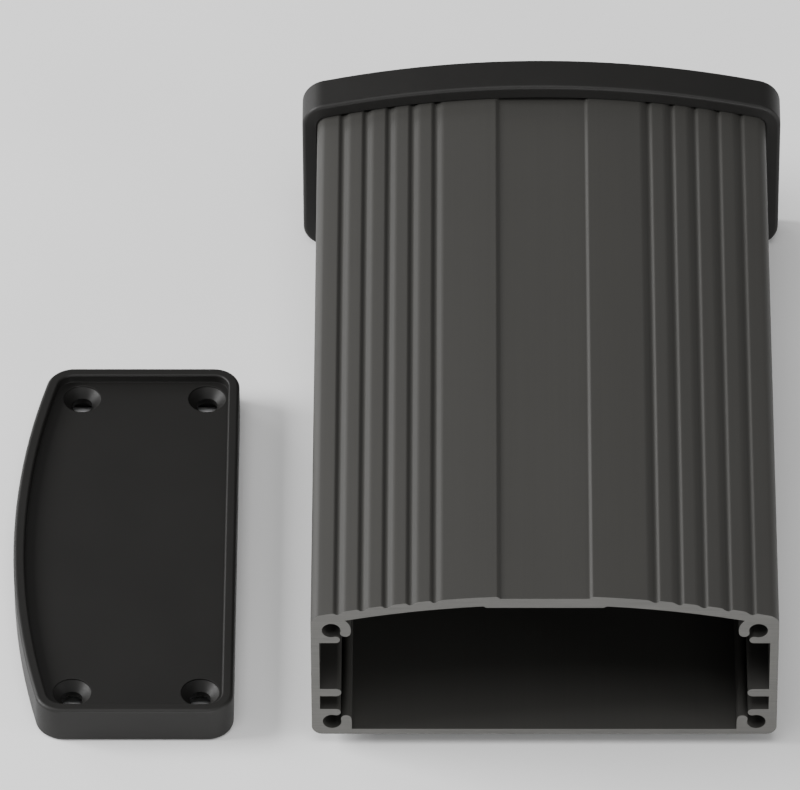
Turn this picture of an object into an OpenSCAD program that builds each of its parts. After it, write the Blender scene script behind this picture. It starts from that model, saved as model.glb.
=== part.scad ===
// Extruded aluminium enclosure for a 100 mm wide circuit board.
//
// A curved-top case is cut from one extrusion. A moulded cap closes each end:
// the rear cap is screwed on, and the front cap lies beside the case with its
// outer face up. All sizes are in millimetres.
//
// Frame: origin in the middle of the case's underside, +X across the case,
// +Y from the open front end to the rear end, +Z up.

/* [Case] */
// Width over the two side walls
body_w = 104.5; // [95:0.5:130]
// Length of the extrusion
body_l = 167.6; // [60:0.2:260]
// Height of the crown before its middle is recessed
crown_h = 43.8; // [40:0.1:60]
// Radius of the arched top
crown_r = 205; // [150:1:400]
// Radius between a side wall and the arched top
shoulder_r = 3; // [2:0.1:5]
// Radius of the two lower edges
base_r = 2.5; // [1:0.1:4]

/* [Walls] */
// Thickness of the base
base_t = 1.6; // [1.2:0.1:3]
// Thickness of a side wall
side_t = 1.9; // [1.4:0.1:3]
// Thickness of the roof
roof_t = 2.8; // [2.2:0.1:4]

/* [Label recess] */
// Width of the flat floor along the crown
recess_w = 20; // [8:0.5:36]
// Depth of that floor below the crown line
recess_d = 0.9; // [0.5:0.05:1.4]
// How far the flat strip under the roof reaches past the floor on each side
strip_over = 3.2; // [0.5:0.1:6]

/* [Grooves] */
// Number of grooves on each side of the crown
groove_count = 5; // [1:1:5]
// Distance from the middle to the first groove
groove_start = 24.7; // [22:0.1:28]
// Distance between grooves
groove_pitch = 5.4; // [4:0.1:5.5]
// Depth of a groove
groove_d = 0.7; // [0.3:0.05:1.2]
// Width of a groove's gentle slope, on the side of the crown
groove_slope_w = 1.4; // [0.8:0.1:2.4]
// Width of a groove's flat bottom
groove_floor_w = 0.6; // [0.1:0.05:0.6]
// Width of a groove's steep slope, on the side of the shoulder
groove_steep_w = 0.6; // [0.2:0.05:1]

/* [Screw ports] */
// Diameter of the hole that an end screw goes into
port_d = 4.2; // [3:0.1:4.6]
// Distance from a port's middle to the outside of the side wall
port_in = 4.6; // [4.2:0.1:6]
// Height of the lower ports' middle above the underside
port_low_z = 4; // [3.6:0.1:6]
// Depth of the upper ports' middle below the crown
port_drop = 10.9; // [10:0.1:14]
// Thickness of the hook round the inner side of a port
hook_t = 2.3; // [1.6:0.1:3]
// Thickness of the lip between a port and the middle of the side wall
lip_t = 2; // [1.4:0.1:3]
// Direction in which the hook ends, in degrees from outwards
hook_angle = 166; // [150:1:175]
// Direction in which the lip ends, in degrees from outwards
lip_angle = 108; // [95:1:115]

/* [Board guides] */
// Height of the free slot that holds the board's edge
slot_h = 4.1; // [2:0.1:6]
// Thickness of the guide rib above that slot
rib_t = 2.3; // [1.4:0.1:4]

/* [Caps] */
// Thickness of a cap over all
cap_t = 9.6; // [8:0.1:16]
// Depth of the pocket that takes the end of the case
pocket_d = 3.6; // [2:0.1:5]
// Gap round the case in that pocket
pocket_gap = 0.15; // [0.05:0.05:0.5]
// Thickness of the rim round the pocket
rim_t = 3.4; // [2:0.1:5]
// Depth of the recess in the outer face
face_d = 2.2; // [0.5:0.1:3]
// Width of the raised border round that recess
border_w = 2.6; // [2.2:0.1:4]
// Radius on the edges round a cap
cap_edge_r = 0.9; // [0.3:0.1:1]
// Clear distance between the case and the cap that lies beside it
aside = 17.7; // [4:0.1:60]
// Distance from the front of the case back to the middle of that cap
aside_back = 57; // [0:0.5:120]

/* [End screws] */
// Diameter of a screw's shank
screw_d = 4; // [2.5:0.1:4.4]
// Length of a screw with its countersunk head
screw_l = 12; // [8:0.5:20]
// Diameter of a screw's head
head_d = 8.2; // [6.8:0.1:8.4]
// Diameter of the clearance hole in a cap
clear_d = 4.8; // [4.5:0.1:5.2]
// Diameter of the countersink in a cap
sink_d = 8.6; // [8.5:0.1:9]
// Straight depth at the mouth of the countersink
sink_lip = 0.4; // [0.1:0.1:0.8]
// Gap between a screw's head and its countersink
screw_gap = 0.1; // [0.05:0.05:0.3]
// Width of a blade of the cross in a screw's head
cross_w = 1; // [0.6:0.1:1.4]
// Length of the cross
cross_l = 4.4; // [3:0.1:5]
// Depth of the cross
cross_d = 1.6; // [0.8:0.1:2]

/* [Hidden] */

CASE_GREY = [0.31, 0.31, 0.29];
CAP_BLACK = [0.13, 0.13, 0.13];
SCREW_BLACK = [0.09, 0.09, 0.1];

// Fine enough that big arcs look round in a preview
FINE = 96;
ARCH_FINE = 720;
// How far a cutting shape runs past the surface that it cuts
past = 1;

// A length rounded to a thousandth of a millimetre
function micron(v) = round(v * 1000) / 1000;

// Middle of the arch, below the case
arch_z = crown_h - crown_r;
// How far a round end stands proud of the curve that it closes, so that the
// two cross in one clean edge
blend = 0.02;
// Middle of a shoulder's radius, where it touches the side wall and the arch
shoulder_x = body_w / 2 - shoulder_r;
shoulder_reach = crown_r + blend - shoulder_r;
shoulder_z = micron(arch_z + sqrt(pow(shoulder_reach, 2) - pow(shoulder_x, 2)));
shoulder_angle = asin(shoulder_x / shoulder_reach);
// How far a cap's arch stops short of the middle of each shoulder, in degrees
arch_short = 0.06;
arch_angle = micron(shoulder_angle) - arch_short;
// Middle of a lower edge's radius
base_x = body_w / 2 - base_r;

// Inside of the side walls, and the flat floor of the label recess
inner_x = body_w / 2 - side_t;
recess_z = crown_h - recess_d;

// Screw ports, and the ends of the hook and lip that leave the port's mouth
port_r = port_d / 2;
port_x = body_w / 2 - port_in;
port_high_z = crown_h - port_drop;
lip_x = micron((port_r + lip_t / 2) * cos(lip_angle));
lip_y = micron((port_r + lip_t / 2) * sin(lip_angle));
hook_x = micron((port_r + hook_t / 2) * cos(hook_angle));
hook_y = micron((port_r + hook_t / 2) * sin(hook_angle));

// Guide rib, above the lip of the lower port, as long as that lip
rib_z = port_low_z + lip_y + lip_t / 2 + slot_h + rib_t / 2;
rib_x = port_x + lip_x;

// Caps: how far they stand out all round the case, and their levels
cap_over = pocket_gap + rim_t;
face_z = cap_t - face_d;
border_in = cap_over - border_w;
cap_level = -cap_over;

// Screws: where the head's cone starts below the floor of the cap's face
head_cone_h = (head_d - screw_d) / 2;
head_top = sink_lip / 2;
head_cone_top = sink_lip + (sink_d - head_d) / 2 - screw_gap * sqrt(2);
sink_cone_h = (sink_d - clear_d) / 2;

// Repeats its children on the other side of the middle
module both_sides() {
    children();
    mirror([1, 0, 0]) children();
}

// ---- Section of the extrusion, with X across and Y up ----

// Outer outline without grooves or recess, grown outwards by g
module outline(g = 0) {
    far = 2 * (shoulder_r + base_r + g);
    difference() {
        intersection() {
            translate([-body_w / 2 - g, -g]) square([body_w + 2 * g, crown_h + 2 * g]);
            translate([0, arch_z]) circle(r = crown_r + g, $fn = ARCH_FINE);
        }
        both_sides() {
            translate([base_x, base_r]) difference() {
                translate([0, -far]) square([far, far]);
                circle(r = base_r + g, $fn = FINE);
            }
            translate([shoulder_x, shoulder_z]) difference() {
                polygon([[0, 0], [far, 0], [far, far],
                    far * [sin(shoulder_angle), cos(shoulder_angle)]]);
                circle(r = shoulder_r + g, $fn = FINE);
            }
        }
    }
}

// Plain hollow between the base, the side walls and the roof
module hollow() {
    intersection() {
        translate([-inner_x, base_t]) square([2 * inner_x, crown_h]);
        translate([0, arch_z]) circle(r = crown_r - roof_t, $fn = ARCH_FINE);
    }
}

// Flat strip that thickens the roof under the label recess
module roof_strip() {
    low = recess_z - roof_t;
    half = recess_w / 2 + strip_over;
    rise = recess_d + past / 2;
    polygon([
        [-half, low], [half, low],
        [half + rise, low + rise], [-half - rise, low + rise],
    ]);
}

// Solid round a screw port: middle at the origin, side wall at +X, middle of
// the side wall towards +Y, base or roof towards -Y
module port_body(straight_hook) {
    wall = port_in - side_t + past / 2;
    foot = port_in;
    reach = 2 * (port_r + hook_t);
    union() {
        // Corner that fills the space between the hole and the side wall
        translate([0, -foot]) square([wall, foot + lip_y]);
        // Lip with a round end
        translate([lip_x, lip_y - lip_t / 2]) square([wall - lip_x, lip_t]);
        translate([lip_x, lip_y]) circle(r = lip_t / 2, $fn = FINE);
        // Hook that follows the hole, with a round end
        intersection() {
            circle(r = port_r + hook_t, $fn = FINE);
            polygon([
                [0, 0], reach * [cos(hook_angle), sin(hook_angle)],
                [-reach, -reach], [0, -reach],
            ]);
        }
        translate([hook_x, hook_y]) circle(r = hook_t / 2 + blend, $fn = FINE);
        if (straight_hook)
            translate([-port_r - hook_t, -foot]) square([hook_t, foot]);
    }
}

// Guide rib with a round end, on the +X side
module guide_rib() {
    translate([rib_x, rib_z - rib_t / 2]) square([inner_x - rib_x + past / 2, rib_t]);
    translate([rib_x, rib_z]) circle(r = rib_t / 2, $fn = FINE);
}

// Shallow recess with sloped sides along the crown
module label_recess() {
    rise = recess_d + past;
    half = recess_w / 2;
    polygon([
        [-half, recess_z], [half, recess_z],
        [half + rise, recess_z + rise], [-half - rise, recess_z + rise],
    ]);
}

// Saw-tooth grooves on the +X side, each square to the arch where it lies
module grooves() {
    rise = past / groove_d;
    for (i = [0 : groove_count - 1]) {
        x = groove_start + i * groove_pitch;
        translate([0, arch_z])
            rotate(-asin(x / crown_r))
                translate([0, crown_r])
                    polygon([
                        [-groove_floor_w / 2, -groove_d],
                        [groove_floor_w / 2, -groove_d],
                        [groove_floor_w / 2 + groove_steep_w * (1 + rise), past],
                        [-groove_floor_w / 2 - groove_slope_w * (1 + rise), past],
                    ]);
    }
}

// Whole section of the case
module section() {
    difference() {
        outline();
        difference() {
            hollow();
            roof_strip();
            both_sides() {
                translate([port_x, port_low_z]) port_body(true);
                translate([port_x, port_high_z]) mirror([0, 1]) port_body(false);
                guide_rib();
            }
        }
        label_recess();
        both_sides() {
            grooves();
            translate([port_x, port_low_z]) circle(d = port_d, $fn = FINE);
            translate([port_x, port_high_z]) circle(d = port_d, $fn = FINE);
        }
    }
}

// ---- Cap, with its pocket's rim at Z = 0 and its outer face at the top ----

// Section of a cap's edge: r wide, cap_t high, with both outer edges rounded
module edge_section(r) {
    e = cap_edge_r;
    square([r - e, cap_t]);
    translate([0, e]) square([r, cap_t - 2 * e]);
    translate([r - e, e]) circle(r = e, $fn = FINE);
    translate([r - e, cap_t - e]) circle(r = e, $fn = FINE);
}

// A straight run of that edge along +Y, whose outer side faces +X
module edge_run(r, l) {
    rotate([90, 0, 0]) mirror([0, 0, 1]) linear_extrude(l) edge_section(r);
}

// Outer form of a cap: rounded corners and shoulders, straight runs between
// them, the arch and the middle
module cap_blank() {
    base_out = base_r + cap_over;
    arch_in = crown_r - shoulder_r;
    union() {
        both_sides() {
            translate([base_x, base_r]) {
                rotate(-90) rotate_extrude(angle = 90, $fn = FINE) edge_section(base_out);
                edge_run(base_out, shoulder_z - base_r);
            }
            translate([shoulder_x, shoulder_z])
                rotate_extrude($fn = FINE) edge_section(shoulder_r + cap_over);
        }
        translate([-base_x, base_r]) rotate(-90) edge_run(base_out, 2 * base_x);
        translate([0, arch_z]) rotate(90 - arch_angle)
            rotate_extrude(angle = 2 * arch_angle, $fn = ARCH_FINE)
                difference() {
                    edge_section(crown_r + cap_over);
                    translate([-past, -past]) square([arch_in + past, cap_t + 2 * past]);
                }
        linear_extrude(cap_t) outline(-min(base_r, shoulder_r) / 2);
    }
}

// Clearance hole and countersink, cut down from the floor of the face recess
module screw_hole() {
    translate([0, 0, pocket_d - past]) cylinder(d = clear_d, h = cap_t, $fn = FINE);
    translate([0, 0, face_z - sink_lip - sink_cone_h])
        cylinder(d1 = clear_d, d2 = sink_d, h = sink_cone_h, $fn = FINE);
    translate([0, 0, face_z - sink_lip]) cylinder(d = sink_d, h = cap_t, $fn = FINE);
}

// Puts its children at the four screw ports
module at_ports() {
    both_sides()
        for (y = [port_low_z, port_high_z])
            translate([port_x, y, 0]) children();
}

// A whole cap; the caps at the two ends are alike
module cap() {
    difference() {
        cap_blank();
        translate([0, 0, -past]) linear_extrude(pocket_d + past) outline(pocket_gap);
        translate([0, 0, face_z]) linear_extrude(face_d + past) outline(border_in);
        at_ports() screw_hole();
    }
}

// Countersunk screw, with the floor of the cap's face recess at Z = 0
module screw() {
    tip = -head_top - screw_l;
    point = screw_d / 4;
    difference() {
        rotate_extrude($fn = FINE) polygon([
            [0, -head_top], [head_d / 2, -head_top],
            [head_d / 2, -head_cone_top], [screw_d / 2, -head_cone_top - head_cone_h],
            [screw_d / 2, tip + point], [screw_d / 2 - point, tip], [0, tip],
        ]);
        for (a = [0, 90])
            rotate(a) translate([-cross_l / 2, -cross_w / 2, -head_top - cross_d])
                cube([cross_l, cross_w, cross_d + past]);
    }
}

// Stands its children, drawn as a cap is, on the rear end of the case
module at_rear() {
    translate([0, body_l / 2 - pocket_d, 0]) rotate([90, 0, 180]) children();
}

// ---- Pieces ----

module profile() {
    color(CASE_GREY)
        translate([0, body_l / 2, 0]) rotate([90, 0, 0])
            linear_extrude(body_l) section();
}

module rear_cap() {
    color(CAP_BLACK) at_rear() cap();
}

module rear_cap_screws() {
    color(SCREW_BLACK)
        at_rear() at_ports() translate([0, 0, face_z]) screw();
}

module front_cap() {
    color(CAP_BLACK)
        translate([-body_w / 2 - aside - cap_over, aside_back - body_l / 2, cap_level])
            rotate([0, 0, 90]) cap();
}

profile();
rear_cap();
rear_cap_screws();
front_cap();
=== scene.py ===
"""An extruded case for circuit boards, with a moulded cap screwed to its rear end.

The matching front cap lies beside the case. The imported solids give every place
and size. This file rounds their edges and gives each piece its finish: the dark
satin coat of the extrusion with its pale sawn ends, the finely textured black
caps, and the blackened steel screws.
"""

import logging
import math
from dataclasses import dataclass, field
from enum import Enum

import bmesh
import bpy
from mathutils import Matrix, Vector


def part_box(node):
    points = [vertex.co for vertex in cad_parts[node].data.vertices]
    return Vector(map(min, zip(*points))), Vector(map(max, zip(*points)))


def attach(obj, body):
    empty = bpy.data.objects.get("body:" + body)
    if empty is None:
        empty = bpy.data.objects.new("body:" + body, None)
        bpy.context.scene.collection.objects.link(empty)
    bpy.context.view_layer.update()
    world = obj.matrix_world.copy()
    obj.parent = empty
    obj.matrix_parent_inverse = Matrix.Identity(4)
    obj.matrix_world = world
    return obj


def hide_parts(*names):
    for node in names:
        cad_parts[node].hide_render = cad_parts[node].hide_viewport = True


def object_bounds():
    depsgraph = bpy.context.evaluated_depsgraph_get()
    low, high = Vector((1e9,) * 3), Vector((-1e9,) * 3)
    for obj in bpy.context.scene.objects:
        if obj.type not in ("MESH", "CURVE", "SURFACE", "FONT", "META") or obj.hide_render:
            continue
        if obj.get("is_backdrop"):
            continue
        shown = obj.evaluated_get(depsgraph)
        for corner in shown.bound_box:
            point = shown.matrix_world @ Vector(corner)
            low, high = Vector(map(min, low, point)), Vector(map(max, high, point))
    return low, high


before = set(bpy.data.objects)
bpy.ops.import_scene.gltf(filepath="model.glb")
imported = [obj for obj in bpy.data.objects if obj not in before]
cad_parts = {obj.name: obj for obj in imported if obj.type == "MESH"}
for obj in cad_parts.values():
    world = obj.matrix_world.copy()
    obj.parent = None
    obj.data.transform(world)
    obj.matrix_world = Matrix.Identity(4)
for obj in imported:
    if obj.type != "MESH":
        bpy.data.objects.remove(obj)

LOG = logging.getLogger("case")
MM = 0.001

Colour = tuple[float, float, float]
Socket = bpy.types.NodeSocket


class Run(Enum):
    """Which of a piece's sharp edges are rounded."""

    LENGTHWAYS = "the long edges that the die leaves, which run along Y"
    ALL = "every sharp edge"


class Bend(Enum):
    """Which way an edge bends."""

    RIDGE = "outwards"
    HOLLOW = "inwards"
    EITHER = "either way"


@dataclass(frozen=True)
class Rounding:
    """One pass that rounds the edges whose angle lies in a range.

    It passes over an edge beside a face that is narrower than the rounding.
    With an outer direction, it takes only the edges furthest that way.
    """

    by: float
    over: float = math.radians(75)
    under: float = math.radians(130)
    steps: int = 2
    bend: Bend = Bend.EITHER
    outer: Vector | None = None
    on_face: float = 0.01 * MM

    def reach(self, shape: bmesh.types.BMesh) -> float:
        """Measure how far a shape reaches along the outer direction.

        Args:
            shape: The shape.

        Returns:
            The reach, or 0 where the pass has no outer direction.
        """
        if self.outer is None:
            return 0.0
        return max(vert.co @ self.outer for vert in shape.verts)

    def takes(self, edge: bmesh.types.BMEdge, top: float) -> bool:
        """Say whether an edge belongs to this pass.

        Args:
            edge: The edge, between two faces.
            top: How far the piece reaches along the outer direction.

        Returns:
            True if the pass rounds the edge.
        """
        if not self.over < edge.calc_face_angle(0.0) < self.under:
            return False
        if min(face.calc_area() for face in edge.link_faces) < self.by * edge.calc_length():
            return False
        if self.outer is not None:
            if min(vert.co @ self.outer for vert in edge.verts) < top - self.on_face:
                return False
        return self.bend is Bend.EITHER or edge.is_convex == (self.bend is Bend.RIDGE)

    def cut(self, shape: bmesh.types.BMesh, edges: list[bmesh.types.BMEdge]) -> None:
        """Round the edges.

        Args:
            shape: The shape that the edges belong to.
            edges: The edges.
        """
        bmesh.ops.bevel(shape, geom=edges, offset=self.by, offset_type="OFFSET",
                        affect="EDGES", segments=self.steps, profile=0.5,
                        material=-1, clamp_overlap=False, loop_slide=True)


# ---- Materials ---------------------------------------------------------------


class NodeSheet:
    """One node material, built step by step on Object coordinates."""

    middle: float = 0.5
    spread: float = 0.25

    def __init__(self, name: str) -> None:
        """Start an empty material.

        Args:
            name: The material's name.
        """
        self.material = bpy.data.materials.new(name)
        self.material.use_nodes = True
        self.tree = self.material.node_tree
        self.tree.nodes.clear()
        self.output = self.tree.nodes.new("ShaderNodeOutputMaterial")
        self.shader = self.tree.nodes.new("ShaderNodeBsdfPrincipled")
        self.link(self.shader.outputs["BSDF"], self.output.inputs["Surface"])
        self.place = self.tree.nodes.new("ShaderNodeTexCoord").outputs["Object"]

    def link(self, source: Socket, target: Socket) -> None:
        """Join an output to an input."""
        self.tree.links.new(source, target)

    def paint(self, name: str, source: Socket) -> None:
        """Join an output to one of the shader's own inputs."""
        self.link(source, self.shader.inputs[name])

    def constant(self, **sockets: float) -> None:
        """Set inputs of the shader that are the same all over the surface."""
        for name, value in sockets.items():
            self.shader.inputs[name.replace("_", " ")].default_value = value

    def feed(self, inputs: list[Socket], values: tuple) -> None:
        """Give each input its value, its colour or its source.

        Args:
            inputs: The inputs.
            values: A number, a colour or an output for each.
        """
        for target, value in zip(inputs, values):
            if isinstance(value, float):
                target.default_value = value
            elif isinstance(value, tuple):
                target.default_value = (*value, 1.0)
            else:
                self.link(value, target)

    def along(self, axis: str) -> Socket:
        """Give one coordinate of the object's own place, in metres."""
        node = self.tree.nodes.new("ShaderNodeSeparateXYZ")
        self.link(self.place, node.inputs["Vector"])
        return node.outputs[axis]

    def noise(self, size: float | tuple[float, float, float], detail: float) -> Socket:
        """Make soft noise about its middle value.

        Args:
            size: The size of its grains, in metres, the same all round or along each axis.
            detail: How many finer layers it has.

        Returns:
            The noise, from 0 to 1.
        """
        sizes = size if isinstance(size, tuple) else (size, size, size)
        scaled = self.tree.nodes.new("ShaderNodeMapping")
        scaled.inputs["Scale"].default_value = [1 / length for length in sizes]
        self.link(self.place, scaled.inputs["Vector"])
        node = self.tree.nodes.new("ShaderNodeTexNoise")
        node.inputs["Scale"].default_value = 1.0
        node.inputs["Detail"].default_value = detail
        self.link(scaled.outputs["Vector"], node.inputs["Vector"])
        return node.outputs["Fac"]

    def ranged(self, noise: Socket, low: float, high: float) -> Socket:
        """Map noise onto a range.

        Args:
            noise: The noise.
            low: What it becomes at its dark side.
            high: What it becomes at its bright side.

        Returns:
            The mapped value.
        """
        node = self.tree.nodes.new("ShaderNodeMapRange")
        node.inputs["From Min"].default_value = self.middle - self.spread
        node.inputs["From Max"].default_value = self.middle + self.spread
        node.inputs["To Min"].default_value = low
        node.inputs["To Max"].default_value = high
        self.link(noise, node.inputs["Value"])
        return node.outputs["Result"]

    def maths(self, kind: str, first: Socket | float, second: Socket | float) -> Socket:
        """Combine two values.

        Args:
            kind: The Math node's operation.
            first: The first value or its source.
            second: The second value or its source.

        Returns:
            The result.
        """
        node = self.tree.nodes.new("ShaderNodeMath")
        node.operation = kind
        self.feed(node.inputs, (first, second))
        return node.outputs["Value"]

    def layered(self, *layers: tuple[Socket, float]) -> Socket:
        """Add layers of noise.

        Args:
            layers: Each layer's noise, and its share of the whole.

        Returns:
            The sum.
        """
        total, *others = [self.ranged(noise, 0.0, share) for noise, share in layers]
        for other in others:
            total = self.maths("ADD", total, other)
        return total

    def mixed(self, share: Socket, first: Colour | Socket, second: Colour | Socket) -> Socket:
        """Mix two colours.

        Args:
            share: How much of the second colour shows.
            first: The first colour or its source.
            second: The second colour or its source.

        Returns:
            The mixed colour.
        """
        node = self.tree.nodes.new("ShaderNodeMix")
        node.data_type = "RGBA"
        self.link(share, node.inputs["Factor"])
        self.feed([s for s in node.inputs if s.type == "RGBA"], (first, second))
        return next(s for s in node.outputs if s.type == "RGBA")

    def blended(self, share: Socket, first: Socket | float, second: Socket | float) -> Socket:
        """Mix two values.

        Args:
            share: How much of the second value shows.
            first: The first value or its source.
            second: The second value or its source.

        Returns:
            The mixed value.
        """
        node = self.tree.nodes.new("ShaderNodeMix")
        node.data_type = "FLOAT"
        self.link(share, node.inputs["Factor"])
        self.feed([s for s in node.inputs if s.type == "VALUE" and s.name in ("A", "B")],
                  (first, second))
        return next(s for s in node.outputs if s.type == "VALUE")

    def bump(self, height: Socket, depth: float, strength: float) -> None:
        """Raise the surface by a height.

        Args:
            height: The height, from 0 to 1.
            depth: How far 1 stands above 0, in metres.
            strength: How much of the bump shows.
        """
        node = self.tree.nodes.new("ShaderNodeBump")
        node.inputs["Strength"].default_value = strength
        node.inputs["Distance"].default_value = depth
        self.link(height, node.inputs["Height"])
        self.paint("Normal", node.outputs["Normal"])


@dataclass(frozen=True)
class CaseCoat:
    """Dark satin coat on the extrusion, over faint die lines, with sawn ends."""

    dark: Colour = (0.0305, 0.0296, 0.0272)
    light: Colour = (0.0385, 0.0375, 0.0345)
    metal: float = 0.0
    shine: float = 0.36
    rough_low: float = 0.52
    rough_high: float = 0.62
    grain_size: float = 0.28 * MM
    grain_share: float = 0.55
    line_size: tuple[float, float, float] = (0.45 * MM, 90.0 * MM, 0.45 * MM)
    line_share: float = 0.30
    line_height: float = 0.35
    cloud_size: float = 25 * MM
    cloud_share: float = 0.15
    sawn_dark: Colour = (0.084, 0.083, 0.078)
    sawn_light: Colour = (0.112, 0.110, 0.104)
    sawn_metal: float = 0.3
    sawn_rough_low: float = 0.34
    sawn_rough_high: float = 0.50
    saw_size: tuple[float, float, float] = (14 * MM, 14 * MM, 0.35 * MM)
    sawn_depth: float = 0.02 * MM
    relief: float = 0.012 * MM
    relief_shown: float = 0.55

    def make(self, front: float, rear: float) -> bpy.types.Material:
        """Build the material.

        Args:
            front: Where the front end is along Y, in metres.
            rear: Where the rear end is along Y, in metres.

        Returns:
            The material.
        """
        sheet = NodeSheet("case_coat")
        grain = sheet.noise(self.grain_size, 2.0)
        lines = sheet.noise(self.line_size, 3.0)
        cloud = sheet.noise(self.cloud_size, 2.0)
        saw = sheet.noise(self.saw_size, 3.0)
        sawn = sheet.maths(
            "MAXIMUM",
            sheet.maths("LESS_THAN", sheet.along("Y"), front + self.sawn_depth),
            sheet.maths("GREATER_THAN", sheet.along("Y"), rear - self.sawn_depth))
        shade = sheet.layered((grain, self.grain_share), (lines, self.line_share),
                              (cloud, self.cloud_share))
        coat = sheet.mixed(shade, self.dark, self.light)
        cut = sheet.mixed(sheet.ranged(saw, 0.0, 1.0), self.sawn_dark, self.sawn_light)
        sheet.paint("Base Color", sheet.mixed(sawn, coat, cut))
        sheet.paint("Roughness", sheet.blended(
            sawn, sheet.ranged(grain, self.rough_low, self.rough_high),
            sheet.ranged(saw, self.sawn_rough_low, self.sawn_rough_high)))
        sheet.paint("Metallic", sheet.blended(sawn, self.metal, self.sawn_metal))
        sheet.constant(Specular_IOR_Level=self.shine)
        drawn = sheet.maths("ADD", grain, sheet.ranged(lines, 0.0, self.line_height))
        sheet.bump(sheet.blended(sawn, drawn, saw), self.relief, self.relief_shown)
        return sheet.material


@dataclass(frozen=True)
class CapPlastic:
    """Black moulded plastic with a fine spark-eroded texture."""

    dark: Colour = (0.0064, 0.0061, 0.0056)
    light: Colour = (0.0116, 0.0111, 0.0104)
    shine: float = 0.3
    rough_low: float = 0.46
    rough_high: float = 0.60
    grain_size: float = 0.32 * MM
    grain_share: float = 0.65
    flow_size: float = 18 * MM
    flow_share: float = 0.35
    relief: float = 0.018 * MM
    relief_shown: float = 0.6

    def make(self) -> bpy.types.Material:
        """Build the material.

        Returns:
            The material.
        """
        sheet = NodeSheet("cap_plastic")
        grain = sheet.noise(self.grain_size, 3.0)
        flow = sheet.noise(self.flow_size, 2.0)
        shade = sheet.layered((grain, self.grain_share), (flow, self.flow_share))
        sheet.paint("Base Color", sheet.mixed(shade, self.dark, self.light))
        sheet.paint("Roughness", sheet.ranged(grain, self.rough_low, self.rough_high))
        sheet.constant(Specular_IOR_Level=self.shine)
        sheet.bump(grain, self.relief, self.relief_shown)
        return sheet.material


@dataclass(frozen=True)
class ScrewSteel:
    """Turned steel blackened with oxide, with fine rings and a few dull specks."""

    dark: Colour = (0.022, 0.022, 0.0235)
    light: Colour = (0.042, 0.042, 0.0445)
    rough_low: float = 0.28
    rough_high: float = 0.44
    ring_size: tuple[float, float, float] = (1.5 * MM, 0.06 * MM, 1.5 * MM)
    ring_share: float = 0.5
    speck_size: float = 0.4 * MM
    speck_share: float = 0.5
    relief: float = 0.006 * MM
    relief_shown: float = 0.4

    def make(self) -> bpy.types.Material:
        """Build the material.

        Returns:
            The material.
        """
        sheet = NodeSheet("screw_steel")
        rings = sheet.noise(self.ring_size, 2.0)
        specks = sheet.noise(self.speck_size, 3.0)
        shade = sheet.layered((rings, self.ring_share), (specks, self.speck_share))
        sheet.paint("Base Color", sheet.mixed(shade, self.dark, self.light))
        sheet.paint("Roughness", sheet.ranged(specks, self.rough_low, self.rough_high))
        sheet.constant(Metallic=1.0)
        sheet.bump(rings, self.relief, self.relief_shown)
        return sheet.material


@dataclass(frozen=True)
class TablePaint:
    """Plain pale floor."""

    dark: Colour = (0.86, 0.86, 0.86)
    light: Colour = (0.90, 0.90, 0.90)
    cloud_size: float = 60 * MM
    rough: float = 0.9
    shine: float = 0.1

    def make(self) -> bpy.types.Material:
        """Build the material.

        Returns:
            The material.
        """
        sheet = NodeSheet("table_paint")
        cloud = sheet.ranged(sheet.noise(self.cloud_size, 2.0), 0.0, 1.0)
        sheet.paint("Base Color", sheet.mixed(cloud, self.dark, self.light))
        sheet.constant(Roughness=self.rough, Specular_IOR_Level=self.shine)
        return sheet.material


# ---- Pieces ------------------------------------------------------------------


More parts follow.
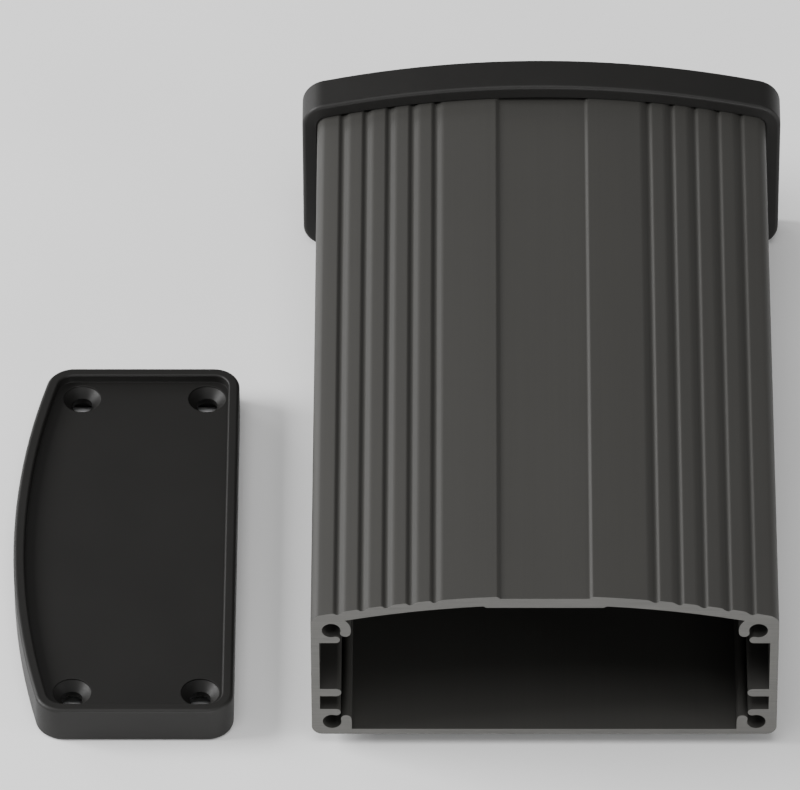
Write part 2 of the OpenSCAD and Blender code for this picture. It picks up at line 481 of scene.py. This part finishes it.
@dataclass(frozen=True)
class Piece:
    """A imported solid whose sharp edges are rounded, in its finish."""

    node: str
    name: str
    slot: str
    roundings: tuple[Rounding, ...]
    run: Run = Run.ALL
    merge: float = 0.0005 * MM
    least_face: float = 0.002 * MM * MM
    least_run: float = 20 * MM
    straight: float = 0.9
    flat: float = math.radians(0.2)
    crease: float = math.radians(40)
    flat_weight: int = 80

    def _open_to(self, edge: bmesh.types.BMEdge) -> bool:
        """Say whether an edge may be rounded at all.

        Args:
            edge: The edge.

        Returns:
            True if it runs the right way, between two real faces.
        """
        if len(edge.link_faces) != 2:
            return False
        if min(face.calc_area() for face in edge.link_faces) < self.least_face:
            return False
        if self.run is Run.ALL:
            return True
        along = edge.verts[1].co - edge.verts[0].co
        return abs(along.y) > self.straight * along.length and along.length > self.least_run

    def _mesh(self) -> bpy.types.Mesh:
        """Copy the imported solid's mesh and round it.

        Returns:
            The rounded mesh.
        """
        shape = bmesh.new()
        shape.from_mesh(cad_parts[self.node].data)
        bmesh.ops.remove_doubles(shape, verts=shape.verts, dist=self.merge)
        bmesh.ops.dissolve_degenerate(shape, edges=shape.edges, dist=self.merge)
        bmesh.ops.dissolve_limit(shape, angle_limit=self.flat, verts=shape.verts,
                                 edges=shape.edges, use_dissolve_boundaries=False)
        for rounding in self.roundings:
            top = rounding.reach(shape)
            rounding.cut(shape, [edge for edge in shape.edges
                                 if self._open_to(edge) and rounding.takes(edge, top)])
        for face in shape.faces:
            face.smooth = True
        for edge in shape.edges:
            edge.smooth = edge.calc_face_angle(0.0) < self.crease
        mesh = bpy.data.meshes.new(self.name)
        shape.to_mesh(mesh)
        shape.free()
        return mesh

    def build(self, finish: bpy.types.Material) -> None:
        """Make the piece, dress it and put it in the place of its solid.

        Args:
            finish: The piece's material.
        """
        mesh = self._mesh()
        mesh.materials.append(finish)
        piece = bpy.data.objects.new(self.name, mesh)
        bpy.context.scene.collection.objects.link(piece)
        even = piece.modifiers.new("even_normals", "WEIGHTED_NORMAL")
        even.keep_sharp = True
        even.weight = self.flat_weight
        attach(piece, "root")
        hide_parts(self.node)
        LOG.info("%s: %d faces", self.name, len(mesh.polygons))


@dataclass(frozen=True)
class Case:
    """The extrusion, whose long edges have the die's small radii."""

    crest_round: float = 0.45 * MM
    groove_round: float = 0.22 * MM
    step_round: float = 0.24 * MM
    slot_round: float = 0.12 * MM
    round_steps: int = 3
    faint: float = math.radians(14)
    gentle: float = math.radians(35)
    steep: float = math.radians(62)
    sharp: float = math.radians(130)

    def build(self) -> None:
        """Build and dress the extrusion."""
        low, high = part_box("profile")
        shell = Piece("profile", "case_shell", "case_coat", run=Run.LENGTHWAYS, roundings=(
            Rounding(self.crest_round, self.faint, self.gentle, self.round_steps, Bend.RIDGE),
            Rounding(self.groove_round, self.faint, self.gentle, self.round_steps, Bend.HOLLOW),
            Rounding(self.step_round, self.gentle, self.steep, self.round_steps),
            Rounding(self.slot_round, self.steep, self.sharp, self.round_steps)))
        shell.build(CaseCoat().make(low.y, high.y))


@dataclass(frozen=True)
class Caps:
    """The fitted rear cap, its screws, and the front cap that lies beside the case."""

    rim_round: float = 0.5 * MM
    rim_steps: int = 4
    edge_round: float = 0.2 * MM
    head_round: float = 0.05 * MM
    merge: float = 0.02 * MM

    def _moulding(self, node: str, name: str, outer: Vector) -> Piece:
        """Describe one cap.

        Args:
            node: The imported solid.
            name: The piece's name.
            outer: Which way the cap's outer face points.

        Returns:
            The cap, ready to build.
        """
        return Piece(node, name, "cap_plastic", merge=self.merge, roundings=(
            Rounding(self.rim_round, steps=self.rim_steps, outer=outer),
            Rounding(self.edge_round)))

    def build(self) -> None:
        """Build and dress the caps and the screws."""
        plastic = CapPlastic().make()
        self._moulding("rear_cap", "rear_cap_moulding", Vector((0, 1, 0))).build(plastic)
        self._moulding("front_cap", "front_cap_moulding", Vector((0, 0, 1))).build(plastic)
        screws = Piece("rear_cap_screws", "rear_cap_screw_set", "screw_steel",
                       roundings=(Rounding(self.head_round, steps=1),))
        screws.build(ScrewSteel().make())


# ---- Studio ------------------------------------------------------------------


@dataclass(frozen=True)
class Camera:
    """A long lens, high in front of the case."""

    aim: Vector = field(default_factory=lambda: Vector((-32.72, 5.33, 20.0)) * MM)
    distance: float = 2603.6 * MM
    elevation: float = math.radians(43.92)
    azimuth: float = math.radians(0.46)
    roll: float = math.radians(-0.31)
    lens: float = 510.7
    sensor: float = 36.0
    nearest: float = 0.05
    furthest: float = 20.0

    def build(self) -> None:
        """Place the camera and make it the scene's own."""
        view = Vector((-math.sin(self.azimuth) * math.cos(self.elevation),
                       math.cos(self.azimuth) * math.cos(self.elevation),
                       -math.sin(self.elevation)))
        level = view.cross(Vector((0, 0, 1))).normalized()
        right = Matrix.Rotation(self.roll, 3, -view) @ level
        place = Matrix((right, right.cross(view), -view)).transposed().to_4x4()
        place.translation = self.aim - view * self.distance
        data = bpy.data.cameras.new("camera")
        data.lens, data.sensor_width = self.lens, self.sensor
        data.clip_start, data.clip_end = self.nearest, self.furthest
        camera = bpy.data.objects.new("camera", data)
        camera.matrix_world = place
        bpy.context.scene.collection.objects.link(camera)
        bpy.context.scene.camera = camera


@dataclass(frozen=True)
class Lamp:
    """One soft lamp."""

    name: str
    place: Vector
    power: float
    width: float
    height: float

    def build(self, target: Vector) -> None:
        """Place the lamp so that it shines at the target.

        Args:
            target: What the lamp shines at.
        """
        data = bpy.data.lights.new(self.name, "AREA")
        data.shape, data.size, data.size_y = "RECTANGLE", self.width, self.height
        data.energy = self.power
        lamp = bpy.data.objects.new(self.name, data)
        lamp.location = self.place
        lamp.rotation_euler = (target - self.place).to_track_quat("-Z", "Y").to_euler()
        bpy.context.scene.collection.objects.link(lamp)


@dataclass(frozen=True)
class Studio:
    """The pale floor, the room's even light and the lamps."""

    floor_half: float = 3.0
    room: float = 0.28
    target: Vector = field(default_factory=lambda: Vector((-0.03, 0.0, 0.02)))
    lamps: tuple[Lamp, ...] = (
        Lamp("key", Vector((-1.5, 0.1, 0.8)), 44.0, 0.8, 0.8),
        Lamp("back", Vector((-1.5, 1.2, 0.55)), 9.0, 0.7, 0.5),
        Lamp("top", Vector((-0.1, -0.6, 1.8)), 16.0, 1.2, 0.8),
        Lamp("front", Vector((0.4, -1.9, 0.28)), 22.0, 1.4, 0.4),
        Lamp("right", Vector((1.7, -0.8, 0.5)), 12.0, 0.8, 0.5),
    )

    def _floor(self, level: float) -> None:
        """Lay the floor.

        Args:
            level: The floor's height, in metres.
        """
        shape = bmesh.new()
        bmesh.ops.create_grid(shape, x_segments=1, y_segments=1, size=self.floor_half)
        bmesh.ops.translate(shape, verts=shape.verts, vec=(0, 0, level))
        mesh = bpy.data.meshes.new("floor")
        shape.to_mesh(mesh)
        shape.free()
        mesh.materials.append(TablePaint().make())
        floor = bpy.data.objects.new("floor", mesh)
        bpy.context.scene.collection.objects.link(floor)
        floor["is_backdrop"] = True

    def build(self, level: float) -> None:
        """Set up the studio.

        Args:
            level: The floor's height, in metres.
        """
        self._floor(level)
        world = bpy.data.worlds.new("room")
        world.use_nodes = True
        backdrop = world.node_tree.nodes["Background"]
        backdrop.inputs["Color"].default_value = (1.0, 1.0, 1.0, 1.0)
        backdrop.inputs["Strength"].default_value = self.room
        bpy.context.scene.world = world
        for lamp in self.lamps:
            lamp.build(self.target)


def plain_box() -> list[list[float]]:
    """Give the whole object's lowest and highest corners as plain numbers."""
    return [[float(value) for value in corner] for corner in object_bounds()]


def main() -> None:
    """Build every piece, the studio and the camera."""
    before = plain_box()
    Camera().build()
    for maker in (Case(), Caps()):
        maker.build()
        LOG.info("%s done", type(maker).__name__)
    Studio().build(before[0][2])


if __name__ == "__main__":
    logging.basicConfig(level=logging.INFO, format="%(name)s %(message)s")
    main()
